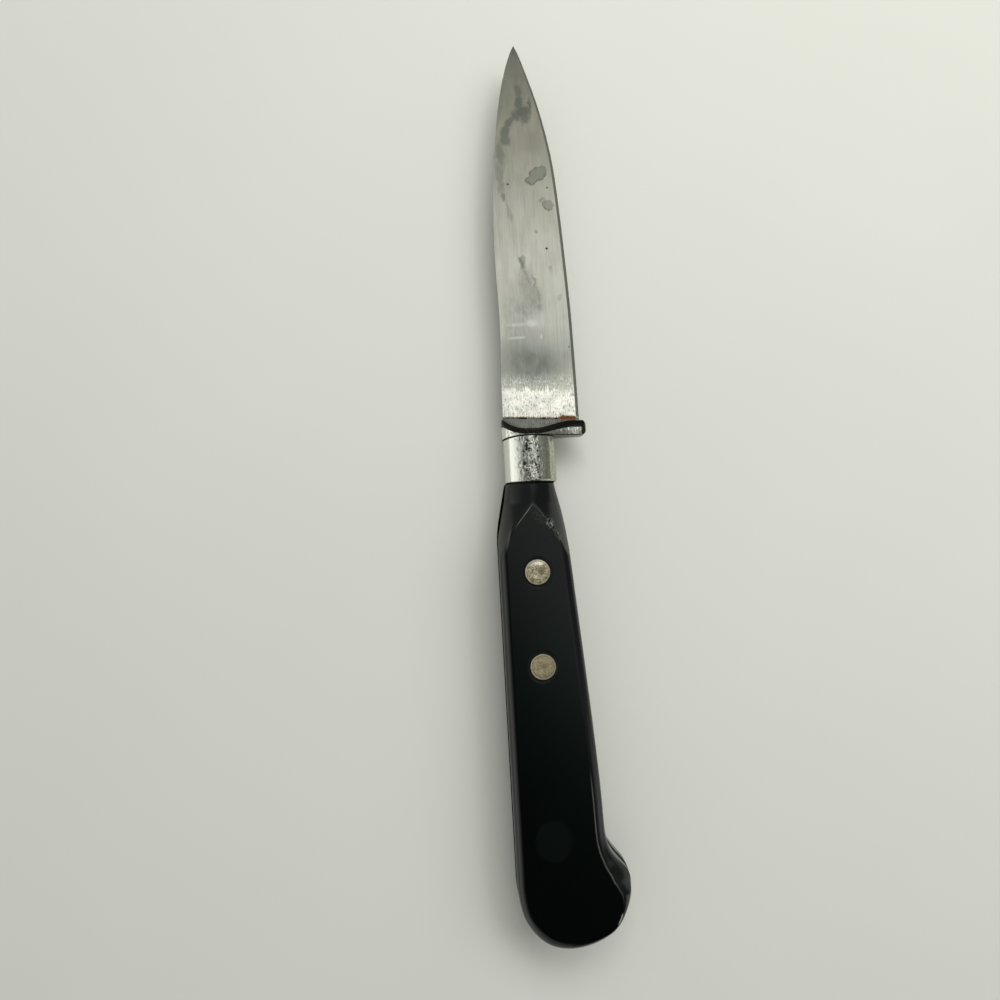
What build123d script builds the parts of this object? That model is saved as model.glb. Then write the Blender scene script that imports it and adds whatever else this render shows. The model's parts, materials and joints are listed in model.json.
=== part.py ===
from build123d import *
import os

# A riveted paring knife that lies on the flat of its lower scale.
# While it is built, x = 0 is the straight back of the handle, y = 0 is the front of the guard
# above the middle of the ferrule, and z = 0 is the flat of the lower scale.
# +X points to the cutting edge, +Y to the tip and +Z up. All sizes are in millimetres.

os.makedirs("parts", exist_ok=True)

# Blade
blade_length = 92.2  # from the guard to the tip
blade_heel_width = 18.15
blade_stock = 2.0  # thickness of the spine at the heel and of the tang
blade_spine_inset = 3.05  # from the back line of the handle to the spine
bevel_width = 0.7  # ground strip along the cutting edge
bevel_thickness = 0.42
edge_thickness = 0.06
tip_width = 0.16

# Guard
guard_length = 4.3  # along the knife, above the middle of the ferrule
guard_width = 20.1
guard_height = 10.7  # over its thickest point
guard_inset = 2.55  # from the back line of the handle to the spine side of the guard
guard_front_lean = 1.35  # how much further back the front face lies at the heel side
guard_back_lean = 0.5
guard_lip = 2.1  # thickness left where the ramps meet the front face
guard_corner_radius = 0.95
guard_spine_corner_radius = 0.35
ramp_radius = 8.2  # hollow of the ramps that rise from the blade
ramp_rise = 3.47  # how far the axis of the hollow lies in front of the guard
slot_side_clearance = 0.1
slot_face_clearance = 0.03

# Ferrule
ferrule_length = 10.9
ferrule_width = 12.25
ferrule_height = 10.3
ferrule_wall = 0.85
ferrule_inset = 2.75  # from the back line of the handle to its side
ferrule_chamfer = 0.3

# Handle
handle_length = 105.45  # from the ferrule to the end of the butt
butt_length = 30.0  # the rounded end with the beak
handle_width = 26.1  # from the straight back to the point of the beak
handle_thickness = 13.0
handle_edge_radius = 2.2
tang_neck_width = 9.0
tang_neck_corner_radius = 0.6
tang_shoulder_gap = 0.25  # between the ferrule and the full width of the tang
nose_clearance = 0.05
nose_end_gap = 0.3

# Neck of the handle, where the oval behind the ferrule opens into the flat faces
neck_width = 11.75
neck_height = 10.2
neck_inset = 2.6
flare_length = 20.0
flare_end_width = 20.2
flare_end_height = 29.8
flare_slope_share = 0.2  # rise of the oval for each length, right behind the ferrule
flare_point_share = 0.4  # how much the arch is drawn to a point
flare_point_length = 5.0

# Beak at the butt, where the edge is cut away more than elsewhere
beak_cut_depth = 2.7  # below the flat, at the point of the beak
beak_cut_width = 3.6

# Rivets
rivet_head_diameter = 6.0
rivet_head_height = 1.6
rivet_dome = 0.22
rivet_dimple_radius = 0.55
rivet_dimple_depth = 0.14
dimple_middle_share = 0.65  # how full the hollow of the dimple is halfway
rivet_sleeve_diameter = 4.0
rivet_pin_diameter = 2.4
rivet_sleeve_gap = 0.5  # between the end of the sleeve and the head of the pin
rivet_pin_gap = 1.2  # between the end of the pin and the bottom of the sleeve
rivet_hole_clearance = 0.05
rivet_head_clearance = 0.08
rivet_inset = 8.9  # from the back line of the handle
front_rivet_setback = 20.85  # from the ferrule
rivet_spacing = 21.45

# One overrun for all cuts
overrun = 3.0

# Blade stations: place along the blade, place of the spine and place of the cutting edge,
# the last two as shares of the heel width measured from the spine at the heel
blade_station_shares = (
    (-0.020, 0.000, 1.000),
    (0.040, 0.003, 0.999),
    (0.105, 0.009, 0.995),
    (0.185, 0.024, 0.989),
    (0.265, 0.033, 0.981),
    (0.345, 0.024, 0.965),
    (0.425, 0.018, 0.946),
    (0.500, 0.021, 0.926),
    (0.570, 0.033, 0.903),
    (0.683, 0.075, 0.852),
    (0.780, 0.135, 0.767),
    (0.845, 0.187, 0.690),
    (0.910, 0.259, 0.594),
    (0.955, 0.326, 0.522),
    (0.985, 0.385, 0.468),
)
blade_tip_share = 0.4275

# Outline of the handle, in three stretches. The second number of each pair is the distance
# from the back line as a share of the handle's width.
# Neck: distance behind the ferrule as a share of the neck's length
neck_back_shares = ((-0.0475, 0.105), (0.1213, 0.075), (0.3058, 0.044), (0.4903, 0.015), (0.6854, 0.0))
neck_belly_shares = (
    (0.8162, 0.640),
    (0.6295, 0.628),
    (0.4418, 0.610),
    (0.2531, 0.580),
    (0.0638, 0.549),
    (-0.0475, 0.540),
)
# Grip: distance behind the neck as a share of the length between neck and butt
grip_belly_shares = ((0.7288, 0.762), (0.4329, 0.719), (0.1345, 0.672))
# Butt with the beak: distance in front of the end as a share of the butt's length
back_end_share = 0.5097
butt_shares = (
    (0.4482, 0.0022),
    (0.3842, 0.011),
    (0.2724, 0.037),
    (0.1511, 0.108),
    (0.0352, 0.258),
    (0.0, 0.451),
    (0.0352, 0.660),
    (0.1315, 0.836),
    (0.2443, 0.929),
    (0.3585, 0.981),
)
beak_shares = (
    (0.4499, 0.9985),
    (0.5062, 0.9935),
    (0.5590, 0.963),
    (0.6117, 0.912),
    (0.6601, 0.869),
    (0.7217, 0.828),
    (0.7944, 0.804),
    (0.9610, 0.791),
)

# Upper half of the guard seen along the knife: place from the spine side as a share of the
# guard's width, and height over the middle as a share of half the guard's height
guard_crown_shares = (
    (0.035, 0.47),
    (0.130, 0.82),
    (0.310, 1.00),
    (0.490, 0.88),
    (0.650, 0.62),
    (0.800, 0.47),
    (0.920, 0.42),
    (0.985, 0.26),
)

# The boundary between the beak's cut and the flat, as shares of the butt's length and the width
beak_line_shares = ((0.7733, 0.812), (0.3339, 0.925))

# Places worked out from the sizes above
middle_z = handle_thickness / 2
ferrule_middle_x = ferrule_inset + ferrule_width / 2
neck_middle_x = neck_inset + neck_width / 2
ferrule_back_y = -guard_length - ferrule_length
far_x = guard_inset + guard_width + overrun
near_x = -overrun
rivet_hole_radius = rivet_sleeve_diameter / 2 + rivet_hole_clearance
rivet_places = [
    (rivet_inset, ferrule_back_y - front_rivet_setback),
    (rivet_inset, ferrule_back_y - front_rivet_setback - rivet_spacing),
]


def guard_front_y(x):
    return -guard_front_lean * (x - ferrule_middle_x) / guard_width


def guard_back_y(x):
    return -guard_length - guard_back_lean * (x - ferrule_middle_x) / guard_width


def neck_point(share):
    along, across = share
    return (handle_width * across, ferrule_back_y - flare_length * along)


def grip_point(share):
    along, across = share
    grip_length = handle_length - flare_length - butt_length
    return (handle_width * across, ferrule_back_y - flare_length - grip_length * along)


def butt_point(share):
    along, across = share
    return (handle_width * across, ferrule_back_y - handle_length + butt_length * along)


def upright_block(corners, low_z, high_z):
    outline = Face(Wire(Polyline(*corners, close=True).edges()))
    return Pos(0, 0, low_z) * extrude(outline, high_z - low_z, dir=(0, 0, 1))


def handle_face():
    neck_back = [neck_point(share) for share in neck_back_shares]
    back_end = butt_point((back_end_share, 0))
    butt_to_neck = [butt_point(share) for share in butt_shares + beak_shares]
    butt_to_neck += [grip_point(share) for share in grip_belly_shares]
    butt_to_neck += [neck_point(share) for share in neck_belly_shares]
    edges = [
        Spline(*neck_back),
        Line(neck_back[-1], back_end),
        Spline(back_end, *butt_to_neck),
        Line(butt_to_neck[-1], neck_back[0]),
    ]
    return Face(Wire(edges))


def plate(face, low_z, high_z):
    return Pos(0, 0, low_z) * extrude(face, high_z - low_z, dir=(0, 0, 1))


# Blade
def blade_section(along, spine, edge):
    width = (edge - spine) * blade_heel_width
    width_share = width / blade_heel_width
    spine_x = blade_spine_inset + spine * blade_heel_width
    edge_x = blade_spine_inset + edge * blade_heel_width
    bevel_x = edge_x - bevel_width * width_share**0.5
    bevel_half = bevel_thickness * width_share**0.5 / 2
    spine_half = bevel_half + (blade_stock - bevel_thickness) * width_share / 2
    edge_half = edge_thickness / 2
    y = along * blade_length
    points = [
        (spine_x, y, middle_z - spine_half),
        (bevel_x, y, middle_z - bevel_half),
        (edge_x, y, middle_z - edge_half),
        (edge_x, y, middle_z + edge_half),
        (bevel_x, y, middle_z + bevel_half),
        (spine_x, y, middle_z + spine_half),
    ]
    return Face(Wire(Polyline(*points, close=True).edges()))


def make_blade():
    half_tip = tip_width / blade_heel_width / 2
    tip_station = (1.0, blade_tip_share - half_tip, blade_tip_share + half_tip)
    body = loft([blade_section(*station) for station in blade_station_shares + (tip_station,)])
    front_of_guard = [
        (near_x, guard_front_y(near_x)),
        (far_x, guard_front_y(far_x)),
        (far_x, blade_length + overrun),
        (near_x, blade_length + overrun),
    ]
    return body & upright_block(front_of_guard, 0, handle_thickness)


# Tang, in one piece with the blade
tang_low_z = middle_z - blade_stock / 2
tang_high_z = middle_z + blade_stock / 2
tang_neck_low_x = ferrule_middle_x - tang_neck_width / 2
tang_neck_high_x = ferrule_middle_x + tang_neck_width / 2
tang_shoulder_y = ferrule_back_y - tang_shoulder_gap


def make_tang(outline):
    wide = plate(outline, tang_low_z, tang_high_z)
    behind_ferrule = Pos(handle_width / 2, tang_shoulder_y - handle_length / 2, middle_z) * Box(
        handle_width + overrun, handle_length, handle_thickness
    )
    neck_corners = [
        (tang_neck_low_x, tang_shoulder_y - overrun),
        (tang_neck_high_x, tang_shoulder_y - overrun),
        (tang_neck_high_x, guard_front_y(tang_neck_high_x)),
        (tang_neck_low_x, guard_front_y(tang_neck_low_x)),
    ]
    neck = upright_block(neck_corners, tang_low_z, tang_high_z)
    tang = (wide & behind_ferrule) + neck
    inner_corners = [
        edge
        for edge in tang.edges().filter_by(Axis.Z)
        if abs(edge.center().Y - tang_shoulder_y) < tang_shoulder_gap
        and tang_neck_low_x - tang_shoulder_gap < edge.center().X < tang_neck_high_x + tang_shoulder_gap
    ]
    return fillet(inner_corners, tang_neck_corner_radius)


# Guard
def make_guard():
    left = (guard_inset, 0, middle_z)
    right = (guard_inset + guard_width, 0, middle_z)
    half_height = guard_height / 2
    crown = [
        (guard_inset + guard_width * across, 0, middle_z + half_height * up)
        for across, up in guard_crown_shares
    ]
    root = [(x, y, 2 * middle_z - z) for x, y, z in crown]
    upper = Spline(left, *crown, right, tangents=[(0, 0, 1), (0, 0, -1)])
    lower = Spline(left, *root, right, tangents=[(0, 0, -1), (0, 0, 1)])
    reach = guard_length + overrun
    bar = extrude(Face(Wire([upper, lower])), reach, dir=(0, 1, 0), both=True)
    high_x = guard_inset + guard_width
    corners = [
        (guard_inset, guard_back_y(guard_inset)),
        (high_x, guard_back_y(high_x)),
        (high_x, guard_front_y(high_x)),
        (guard_inset, guard_front_y(guard_inset)),
    ]
    block = upright_block(corners, 0, handle_thickness)
    uprights = block.edges().filter_by(Axis.Z).sort_by(Axis.X)
    block = fillet(uprights[2:], guard_corner_radius)
    block = fillet(block.edges().filter_by(Axis.Z).sort_by(Axis.X)[:2], guard_spine_corner_radius)
    guard = bar & block

    # The hollow ramps run along the leaning front face, one on each side of the blade
    run = Edge.make_line((near_x, guard_front_y(near_x), 0), (far_x, guard_front_y(far_x), 0))
    axis_height = guard_lip / 2 + (ramp_radius**2 - ramp_rise**2) ** 0.5
    forward = Vector(0, ramp_rise, 0)
    for side in (-1, 1):
        start = run.position_at(0) + forward + Vector(0, 0, middle_z + side * axis_height)
        hollow = Solid.make_cylinder(ramp_radius, run.length, Plane(start, z_dir=run.tangent_at(0)))
        guard = guard - hollow

    slot = Pos(ferrule_middle_x, -guard_length / 2, middle_z) * Box(
        tang_neck_width + 2 * slot_side_clearance,
        guard_length + 2 * overrun,
        blade_stock + 2 * slot_face_clearance,
    )
    return guard - slot


# Ferrule
def oval(width, height, middle_x, y):
    across_knife = Plane((middle_x, y, middle_z), x_dir=(1, 0, 0), z_dir=(0, -1, 0))
    return across_knife * Ellipse(width / 2, height / 2)


def make_ferrule():
    start_y = -guard_length + overrun
    length = ferrule_length + overrun
    outside = extrude(oval(ferrule_width, ferrule_height, ferrule_middle_x, start_y), length)
    outside = chamfer(outside.edges().group_by(Axis.Y)[0], ferrule_chamfer)
    bore_width = ferrule_width - 2 * ferrule_wall
    bore_height = ferrule_height - 2 * ferrule_wall
    bore_start = oval(bore_width, bore_height, ferrule_middle_x, start_y + overrun)
    inside = extrude(bore_start, length + 2 * overrun)
    behind_guard = [
        (near_x, ferrule_back_y - overrun),
        (far_x, ferrule_back_y - overrun),
        (far_x, guard_back_y(far_x)),
        (near_x, guard_back_y(near_x)),
    ]
    return (outside - inside) & upright_block(behind_guard, 0, handle_thickness)


# Scales
flare_steps = 8
oval_points = 24


def flare_face(distance):
    share = distance / flare_length
    half_width = (neck_width + (flare_end_width - neck_width) * share) / 2
    straight_rise = flare_slope_share * flare_length
    curved_rise = (flare_end_height - neck_height) / 2 - straight_rise
    half_height = neck_height / 2 + straight_rise * share + curved_rise * share**2
    power = 2 - flare_point_share * min(distance / flare_point_length, 1)
    y = ferrule_back_y - distance
    points = []
    for step in range(oval_points):
        ray = Vector(1, 0).rotate(Axis.Z, 360 * step / oval_points)
        across = abs(ray.X) ** (2 / power) * (1 if ray.X >= 0 else -1)
        up = abs(ray.Y) ** (2 / power) * (1 if ray.Y >= 0 else -1)
        points.append((neck_middle_x + half_width * across, y, middle_z + half_height * up))
    return Face(Wire(Spline(*points, periodic=True)))


def make_upper_scale(outline):
    slab = plate(outline, tang_high_z, handle_thickness)
    rim = slab.faces().sort_by(Axis.Z)[-1].edges().sort_by(Axis.Y)[:-1]
    slab = fillet(rim, handle_edge_radius)

    # The oval neck opens out of the slab: what lies in front of its end is cut to it
    flare = loft([flare_face(flare_length * step / flare_steps) for step in range(flare_steps + 1)])
    rear_length = handle_length - flare_length + overrun
    rear = Pos(handle_width / 2, ferrule_back_y - flare_length - rear_length / 2, middle_z) * Box(
        2 * handle_width, rear_length, 2 * handle_thickness
    )
    scale = (slab & flare) + (slab & rear)

    # The edge of the beak is cut to a slope
    start, end = [Vector(*butt_point(share)) for share in beak_line_shares]
    run = end - start
    outward = Vector(-run.Y, run.X).normalized() * beak_cut_width
    section = [
        start + Vector(0, 0, handle_thickness),
        start + outward + Vector(0, 0, handle_thickness - beak_cut_depth),
        start + outward + Vector(0, 0, handle_thickness + overrun),
        start + Vector(0, 0, handle_thickness + overrun),
    ]
    slope = Face(Wire(Polyline(*section, close=True).edges()))
    scale = scale - extrude(slope, 2 * run.length, dir=run.normalized())

    # The nose that the ferrule holds
    nose_width = ferrule_width - 2 * ferrule_wall - 2 * nose_clearance
    nose_height = ferrule_height - 2 * ferrule_wall - 2 * nose_clearance
    nose_length = ferrule_length - nose_end_gap
    nose_end = oval(nose_width, nose_height, ferrule_middle_x, ferrule_back_y + nose_length)
    nose = extrude(nose_end, nose_length + overrun)
    above_tang = Pos(handle_width / 2, ferrule_back_y, tang_high_z + handle_thickness / 2) * Box(
        2 * handle_width, 2 * ferrule_length + 2 * overrun, handle_thickness
    )
    return scale + (nose & above_tang)


def cut_rivet_holes(scale):
    head = rivet_head_diameter / 2 + rivet_head_clearance
    for x, y in rivet_places:
        scale = scale - Pos(x, y, middle_z) * Cylinder(rivet_hole_radius, handle_thickness + overrun)
        scale = scale - Pos(x, y, handle_thickness) * Cylinder(head, 2 * rivet_head_height)
    return scale


# Rivets
def head_profile(shank_radius, shank_height, bore_radius, bore_depth):
    # Half section of a rivet part with its head down at height zero: the head is domed
    # and has a small dimple from the setting punch
    radius = rivet_head_diameter / 2
    head = rivet_head_height
    dimple = rivet_dimple_radius
    reaches = (dimple, (dimple + radius) / 2, radius)
    dome = [(reach, rivet_dome * (reach / radius) ** 2) for reach in reaches]
    inside_dimple = (dimple * dimple_middle_share, rivet_dimple_depth * dimple_middle_share)
    face = [ThreePointArc((0, rivet_dimple_depth), inside_dimple, dome[0]), ThreePointArc(*dome)]
    top = shank_height
    points = [(radius, rivet_dome), (radius, head), (shank_radius, head), (shank_radius, top)]
    if bore_radius > 0:
        points += [(bore_radius, top), (bore_radius, bore_depth), (0, bore_depth)]
    else:
        points += [(0, top)]
    points += [(0, rivet_dimple_depth)]
    return Face(Wire(face + list(Polyline(*points).edges())))


def make_rivet(x, y):
    sleeve_top = handle_thickness - rivet_head_height - rivet_sleeve_gap
    bore_bottom = rivet_head_height + rivet_sleeve_gap
    pin_top = handle_thickness - bore_bottom - rivet_pin_gap
    sleeve_face = head_profile(rivet_sleeve_diameter / 2, sleeve_top, rivet_pin_diameter / 2, bore_bottom)
    pin_face = head_profile(rivet_pin_diameter / 2, pin_top, 0, 0)
    upright = Plane.XZ
    sleeve = revolve(upright * sleeve_face, Axis.Z)
    pin = revolve(upright * pin_face, Axis.Z)
    pin = Pos(0, 0, handle_thickness) * Rot(180, 0, 0) * pin
    return Pos(x, y, 0) * pin, Pos(x, y, 0) * sleeve


# The pieces
outline = handle_face()
blade_and_tang = make_blade() + make_tang(outline)
for place in rivet_places:
    blade_and_tang = blade_and_tang - Pos(*place, middle_z) * Cylinder(rivet_hole_radius, handle_thickness)

upper_scale = cut_rivet_holes(make_upper_scale(outline))
lower_scale = mirror(upper_scale, about=Plane((0, 0, middle_z), z_dir=(0, 0, 1)))

pieces = {
    "blade_and_tang": blade_and_tang,
    "guard_collar": make_guard(),
    "ferrule": make_ferrule(),
    "upper_scale": upper_scale,
    "lower_scale": lower_scale,
}
for name, place in zip(("front_rivet", "rear_rivet"), rivet_places):
    pin, sleeve = make_rivet(*place)
    pieces[name + "_pin"] = pin
    pieces[name + "_sleeve"] = sleeve

# The origin goes to the middle of the knife's box, at the height that it lies on
box = Compound(children=[Compound(piece.solids()) for piece in pieces.values()]).bounding_box()
origin = Pos(-(box.min.X + box.max.X) / 2, -(box.min.Y + box.max.Y) / 2, -box.min.Z)
for name, piece in pieces.items():
    export_step(origin * piece, "parts/" + name + ".step")
print("origin moved by", origin.position)
print("knife measures", box.size)
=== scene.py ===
import bpy
import json
from functools import partial
from math import cos, pi, radians, sin, sqrt
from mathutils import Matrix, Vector, kdtree, noise
from mathutils.bvhtree import BVHTree

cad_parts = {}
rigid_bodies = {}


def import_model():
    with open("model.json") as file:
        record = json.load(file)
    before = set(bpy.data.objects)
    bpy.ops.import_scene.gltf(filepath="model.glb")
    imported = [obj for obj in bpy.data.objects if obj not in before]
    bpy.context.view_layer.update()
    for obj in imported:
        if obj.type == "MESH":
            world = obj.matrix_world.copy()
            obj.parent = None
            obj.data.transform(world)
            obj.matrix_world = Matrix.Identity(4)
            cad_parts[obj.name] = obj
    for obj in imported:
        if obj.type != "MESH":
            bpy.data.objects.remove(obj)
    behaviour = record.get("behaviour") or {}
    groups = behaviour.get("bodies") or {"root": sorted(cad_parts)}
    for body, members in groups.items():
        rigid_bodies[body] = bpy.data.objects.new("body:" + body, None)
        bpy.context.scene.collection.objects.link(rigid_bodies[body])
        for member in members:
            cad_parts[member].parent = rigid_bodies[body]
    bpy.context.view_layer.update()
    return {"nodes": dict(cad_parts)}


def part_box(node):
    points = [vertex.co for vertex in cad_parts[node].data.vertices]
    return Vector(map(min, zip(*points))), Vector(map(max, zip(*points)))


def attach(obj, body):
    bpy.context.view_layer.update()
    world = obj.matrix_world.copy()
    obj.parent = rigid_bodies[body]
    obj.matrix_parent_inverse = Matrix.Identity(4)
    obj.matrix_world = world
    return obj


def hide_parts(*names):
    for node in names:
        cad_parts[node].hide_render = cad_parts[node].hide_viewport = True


# An old riveted paring knife that lies on a pale table, seen from above

for leftOver in list(bpy.data.objects):
    bpy.data.objects.remove(leftOver)
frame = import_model()
nodes = frame["nodes"]
mm = 0.001
print("frame loaded")

# Landmarks of the knife in millimetres, from the frame
handleLow, handleHigh = [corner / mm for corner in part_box("upper_scale")]
buttY = handleLow.y
topZ = handleHigh.z
seamZ = handleLow.z  # where the upper scale lies on the tang
middleZ = topZ / 2
ferruleLow, ferruleHigh = [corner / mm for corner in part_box("ferrule")]
ferruleBackY = ferruleLow.y
ferruleX = (ferruleLow.x + ferruleHigh.x) / 2
guardLow, guardHigh = [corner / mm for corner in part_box("guard_collar")]

# Settings that many nodes share
eased = {"interpolation_type": "SMOOTHSTEP"}
tinted = {"data_type": "RGBA"}


def srgb(code, strength=1.0):
    # a hex colour at a brightness, as Blender's linear red, green, blue and alpha
    parts = [int(code[i:i + 2], 16) / 255 for i in (0, 2, 4)]
    linear = [c / 12.92 if c <= 0.04045 else ((c + 0.055) / 1.055) ** 2.4 for c in parts]
    return [c * strength for c in linear] + [1.0]


def addNode(tree, kind, operation=None, *ordered, **named):
    # ordered values go into the first inputs; named ones are the node's settings where they begin with
    # a small letter, and inputs otherwise, and an input takes a value, an output or a node
    node = tree.nodes.new("ShaderNode" + kind)
    if operation:
        node.operation = operation
    for name, value in named.items():
        if name[0].islower():
            setattr(node, name, value)
    inputs = list(zip(node.inputs, ordered))
    for name, value in named.items():
        if name[0].isupper():
            label = name.replace("_", " ")
            inputs.append((next(one for one in node.inputs if one.name == label and one.enabled), value))
    for socket, value in inputs:
        if isinstance(value, bpy.types.Node):
            value = next(one for one in value.outputs if one.enabled)
        if isinstance(value, bpy.types.NodeSocket):
            tree.links.new(value, socket)
        else:
            socket.default_value = value
    return node


def newMaterial(name):
    # the material, and what adds nodes to it
    material = bpy.data.materials.new(name)
    material.use_nodes = True
    material.node_tree.nodes.clear()
    return material, partial(addNode, material.node_tree)


def inMillimetres(add):
    # the object's own coordinates, in millimetres
    return add("VectorMath", "SCALE", add("TexCoord").outputs["Object"], Scale=1000)


def patternsFrom(add, place, kinds):
    # cloudy patterns by name, from the width, length and height of the blots in mm, detail and roughness
    patterns = {}
    for name, (wide, long, high, detail, rough) in kinds.items():
        stretched = add("Mapping", Vector=place, Scale=(1 / wide, 1 / long, 1 / high))
        patterns[name] = add("TexNoise", Vector=stretched, Scale=1.0, Detail=detail, Roughness=rough)
    return patterns


def warped(add, place, reach, size):
    # the same place, pushed about by up to the reach, in bumps of that size, in mm
    cloud = add("TexNoise", Vector=place, Scale=1 / size, Detail=3.0)
    push = add("VectorMath", "SUBTRACT", cloud.outputs["Color"], (0.5, 0.5, 0.5))
    return add("VectorMath", "MULTIPLY_ADD", push, (2 * reach, 2 * reach, 0), place)


def patch(add, place, x, y, wide, long, turn, soft):
    # 1 in an oval at x, y of that width and length, turned to the left by degrees, with a soft edge
    offset = add("VectorMath", "SUBTRACT", place, (x, y, 0))
    turned = add("VectorRotate", rotation_type="Z_AXIS", Vector=offset, Angle=radians(-turn))
    scaled = add("VectorMath", "MULTIPLY", turned, (2 / wide, 2 / long, 0))
    away = add("VectorMath", "LENGTH", scaled)
    return add("MapRange", **eased, Value=away, From_Min=1 + soft, From_Max=1 - soft)


def strongest(add, masks):
    total = masks[0]
    for mask in masks[1:]:
        total = add("Math", "MAXIMUM", total, mask)
    return total


def spots(add, place, ovals, soft):
    # many ovals in one mask, each with its own strength at the end of its row
    return strongest(add, [add("Math", "MULTIPLY", patch(add, place, *oval, soft), strength)
                           for *oval, strength in ovals])


def layered(add, tint, *layers):
    # the tint with other colours laid over it in turn, each through its mask
    for mask, colour in layers:
        top = srgb(colour) if isinstance(colour, str) else colour
        tint = add("Mix", **tinted, Factor=mask, A=tint, B=top)
    return tint


def smooth(pairs, at):
    # the value at a place between (place, value) pairs, on a smooth curve
    places = [pair[0] for pair in pairs]
    if at <= places[0]:
        return pairs[0][1]
    if at >= places[-1]:
        return pairs[-1][1]
    i = max(n for n, place in enumerate(places) if place <= at)
    slopes = []
    for n in (i, i + 1):
        before, after = pairs[max(n - 1, 0)], pairs[min(n + 1, len(pairs) - 1)]
        slopes.append((after[1] - before[1]) / (after[0] - before[0]))
    step = places[i + 1] - places[i]
    t = (at - places[i]) / step
    return ((2 * t**3 - 3 * t**2 + 1) * pairs[i][1] + (t**3 - 2 * t**2 + t) * step * slopes[0]
            + (3 * t**2 - 2 * t**3) * pairs[i + 1][1] + (t**3 - t**2) * step * slopes[1])


def fade(value, low, high):
    # 0 below low, 1 above high and smooth between them
    t = min(max((value - low) / (high - low), 0), 1)
    return t * t * (3 - 2 * t)


def softLower(first, second, blur):
    # the lower of two heights, with the crease between them rounded
    h = min(max(0.5 + (second - first) / (2 * blur), 0), 1)
    return second + (first - second) * h - blur * h * (1 - h)


def denseEnds(share, dense):
    # moves evenly spaced shares towards both ends
    return (1 - dense) * share + dense * (1 - cos(pi * share)) / 2


def selectOnly(piece):
    bpy.ops.object.select_all(action="DESELECT")
    piece.select_set(True)
    bpy.context.view_layer.objects.active = piece


def editAll(piece):
    selectOnly(piece)
    bpy.ops.object.mode_set(mode="EDIT")
    bpy.ops.mesh.select_all(action="SELECT")


def copyOf(piece, name):
    selectOnly(piece)
    bpy.ops.object.duplicate()
    bpy.context.object.name = name
    return bpy.context.object


def shapedGrid(name, columns, rows, shape, marks):
    # a grid whose points go where shape puts them, in mm, from their shares across and along; it also
    # gives a number for each mark, which the materials read
    bpy.ops.mesh.primitive_grid_add(x_subdivisions=columns, y_subdivisions=rows, size=1, location=(0, 0, 0))
    piece = bpy.context.object
    piece.name = name
    layers = [piece.data.attributes.new(mark, "FLOAT", "POINT") for mark in marks]
    for vertex in piece.data.vertices:
        x, y, z, *values = shape(vertex.co.x + 0.5, vertex.co.y + 0.5)
        vertex.co = Vector((x, y, z)) * mm
        for layer, value in zip(layers, values):
            layer.data[vertex.index].value = value
    return piece


def mirrorDown():
    # turns what is selected over the knife's middle
    bpy.ops.transform.mirror(constraint_axis=(False, False, True), center_override=(0, 0, middleZ * mm))
    bpy.ops.object.mode_set(mode="OBJECT")


def closeUp(piece, gap=0.002):
    # joins doubled points and turns all faces outwards
    editAll(piece)
    bpy.ops.mesh.remove_doubles(threshold=gap * mm)
    bpy.ops.mesh.normals_make_consistent(inside=False)
    bpy.ops.object.mode_set(mode="OBJECT")


def finishPiece(piece, finish, slotName, *replaced, angle):
    selectOnly(piece)
    bpy.ops.object.shade_smooth_by_angle(angle=radians(angle))
    piece.data.materials.clear()
    piece.data.materials.append(finish)
    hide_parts(*replaced)
    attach(piece, "root")


# Camera, at the photo's angle
camera = {"x": -12.283, "y": -14.069, "height": 184.5, "lens": 27.03, "sensor": 36.0,
          "tilt": 3.05, "turn": -3.2565}
bpy.ops.object.camera_add(location=(camera["x"] * mm, camera["y"] * mm, camera["height"] * mm),
                          rotation=(radians(camera["tilt"]), 0, radians(camera["turn"])))
eye = bpy.context.object
eye.name = "photoCamera"
eye.data.lens = camera["lens"]
eye.data.sensor_width = camera["sensor"]
eye.data.clip_start = 10 * mm
eye.data.clip_end = 20
bpy.context.scene.camera = eye
print("camera placed")

# Table: a board with matt paint, pale and a little warm; its size is in metres, its clouds in mm
table = {"size": 6.0, "cloudSize": 83.33, "paint": ("cfd0c9", "d5d6d0"), "roughness": 0.6}


def paintedBoard():
    material, add = newMaterial("painted board, rolled matt")
    cloud = add("TexNoise", Vector=inMillimetres(add), Scale=1 / table["cloudSize"], Detail=3.0)
    low, high = table["paint"]
    tint = add("Mix", **tinted, Factor=cloud, A=srgb(low), B=srgb(high))
    shader = add("BsdfPrincipled", Base_Color=tint, Roughness=table["roughness"], Specular_IOR_Level=0.25)
    add("OutputMaterial", Surface=shader)
    return material


bpy.ops.mesh.primitive_plane_add(size=table["size"], location=(0, 0, 0))
board = bpy.context.object
board.name = "table"
board.data.materials.append(paintedBoard())

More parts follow.
